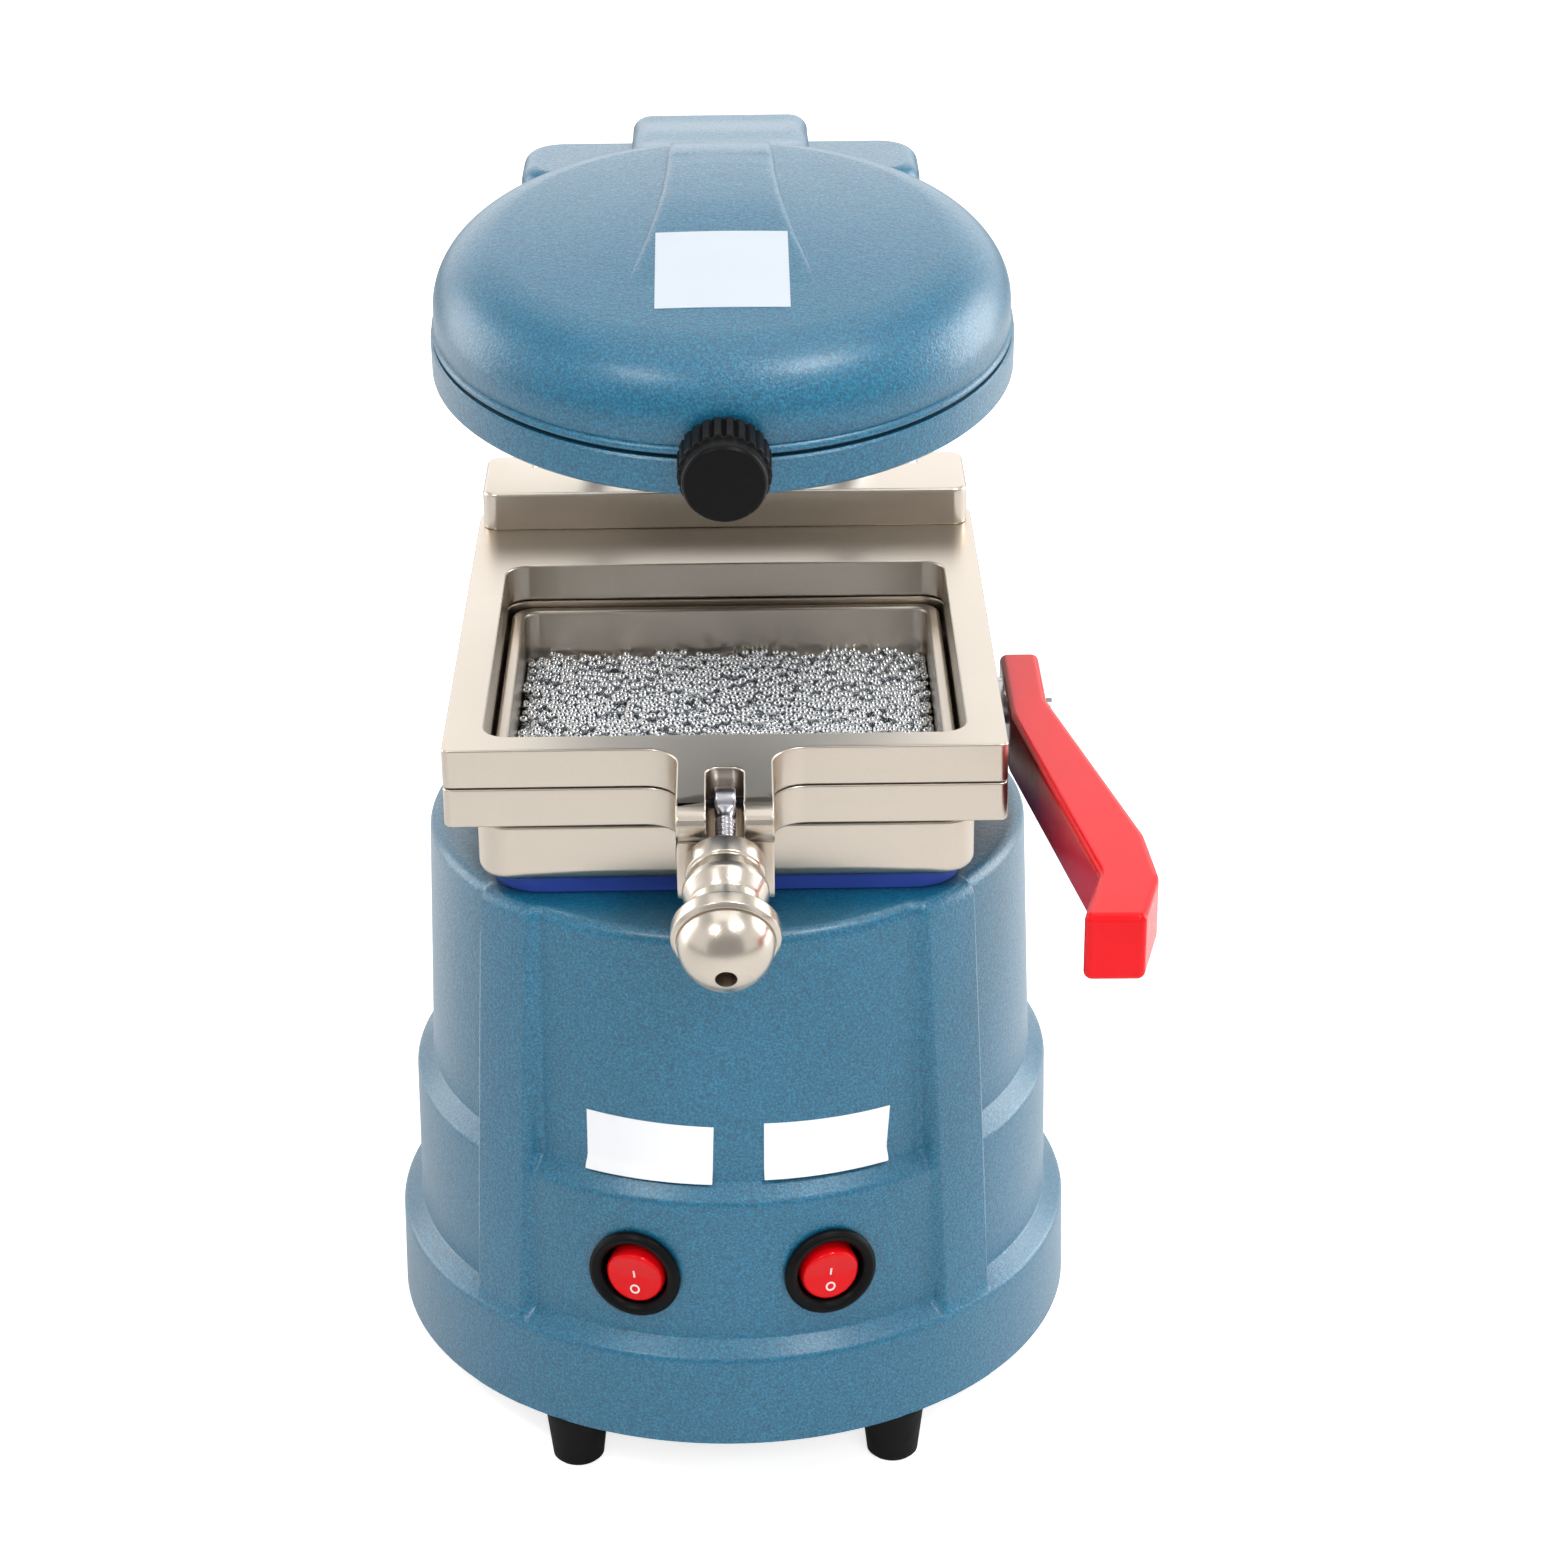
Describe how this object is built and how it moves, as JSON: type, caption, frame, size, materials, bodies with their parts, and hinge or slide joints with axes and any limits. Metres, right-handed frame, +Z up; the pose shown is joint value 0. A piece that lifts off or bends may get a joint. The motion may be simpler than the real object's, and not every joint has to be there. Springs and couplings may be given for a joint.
{
  "type": "dental vacuum former",
  "caption": "Bench-top former: round stepped base with suction tray of steel balls, hinged sheet frame on guide posts, ball-knob clamp, lifting handle and swinging heater head.",
  "frame": {"origin": "on the floor, where the axis of the round base meets the plane under the feet", "axes": "+Z up, -Y towards the user (clamp knob and switches), +X towards the handle side"},
  "size_m": [0.1872, 0.2971, 0.3109],
  "materials": {
    "blue_paint": "hammertone",
    "nickel": "satin brushed",
    "steel": "satin",
    "bright_steel": "polished",
    "black_plastic": "fine matt",
    "black_rubber": "matt",
    "blue_rubber": "matt",
    "red_gloss": "gloss",
    "red_lens": "translucent gloss",
    "bronze": "satin",
    "motor_alu": "cast",
    "black_paint": "satin",
    "ceramic": "matt",
    "element_metal": "oxidised"
  },
  "bodies": {
    "base": {"base_housing": "blue_paint", "base_plate": "black_paint", "base_plate_screws": "steel", "feet": "black_rubber", "foot_screws": "steel", "chamber_gasket": "blue_rubber", "vacuum_chamber": "nickel", "perforated_plate": "steel", "steel_balls": "bright_steel", "chamber_seal": "black_rubber", "chamber_screws": "steel", "vacuum_motor": "motor_alu", "motor_ring": "black_rubber", "air_duct": "black_rubber", "left_switch_body": "black_plastic", "right_switch_body": "black_plastic", "power_inlet": "black_plastic", "fuse_holder": "black_plastic", "fuse_cap": "black_plastic", "guide_posts": "bright_steel", "top_block": "blue_paint", "post_set_screws": "steel", "thrust_washer": "bronze"},
    "impeller": {"motor_impeller": "motor_alu"},
    "left_rocker_body": {"left_rocker": "red_lens"},
    "right_rocker_body": {"right_rocker": "red_lens"},
    "carriage": {"lower_frame": "nickel", "guide_bushings": "bronze", "handle": "red_gloss", "handle_spacer": "steel", "handle_bolt": "steel", "hinge_pin": "steel"},
    "upper_clamp": {"upper_frame": "nickel", "hinge_bar": "nickel", "hinge_bar_screws": "steel", "clamp_pin": "steel"},
    "clamp_bolt": {"swing_bolt": "bright_steel"},
    "knob": {"clamp_knob": "nickel"},
    "heater_head": {"pivot_stud": "steel", "pivot_nut": "steel", "heater_housing": "blue_paint", "heater_rim": "blue_paint", "heater_rim_screws": "steel", "reflector": "bright_steel", "heater_insulators": "ceramic", "heating_element": "element_metal", "knob_stud": "steel", "heater_knob": "black_plastic"}
  },
  "joints": [
    {"name": "frame_lift", "type": "slide", "parent": "base", "child": "carriage", "axis": [0, 0, 1], "range_m": [0, 0.058]},
    {"name": "upper_frame_open", "type": "hinge", "parent": "carriage", "child": "upper_clamp", "pos_m": [0, 0.1105, 0.1968], "axis": [-1, 0, 0], "range_deg": [0, 17]},
    {"name": "clamp_bolt_swing", "type": "hinge", "parent": "upper_clamp", "child": "clamp_bolt", "pos_m": [0, -0.071, 0.18465], "axis": [-1, 0, 0], "range_deg": [0, 110]},
    {"name": "clamp_knob_turn", "type": "hinge", "parent": "clamp_bolt", "child": "knob", "pos_m": [0, -0.071, 0.18465], "axis": [0, -0.9367, -0.3502], "continuous": true},
    {"name": "heater_swing", "type": "hinge", "parent": "base", "child": "heater_head", "pos_m": [0, 0.134, 0.28], "axis": [0, 0, 1], "range_deg": [-90, 90]},
    {"name": "left_rocker_tilt", "type": "hinge", "parent": "base", "child": "left_rocker_body", "pos_m": [-0.02324, -0.07697, 0.0602], "axis": [-0.9573, 0.289, 0], "range_deg": [0, 20]},
    {"name": "right_rocker_tilt", "type": "hinge", "parent": "base", "child": "right_rocker_body", "pos_m": [0.02324, -0.07697, 0.0602], "axis": [-0.9573, -0.289, 0], "range_deg": [0, 20]},
    {"name": "impeller_spin", "type": "hinge", "parent": "base", "child": "impeller", "pos_m": [0, 0.005, 0.08], "axis": [0, 0, 1], "continuous": true}
  ]
}
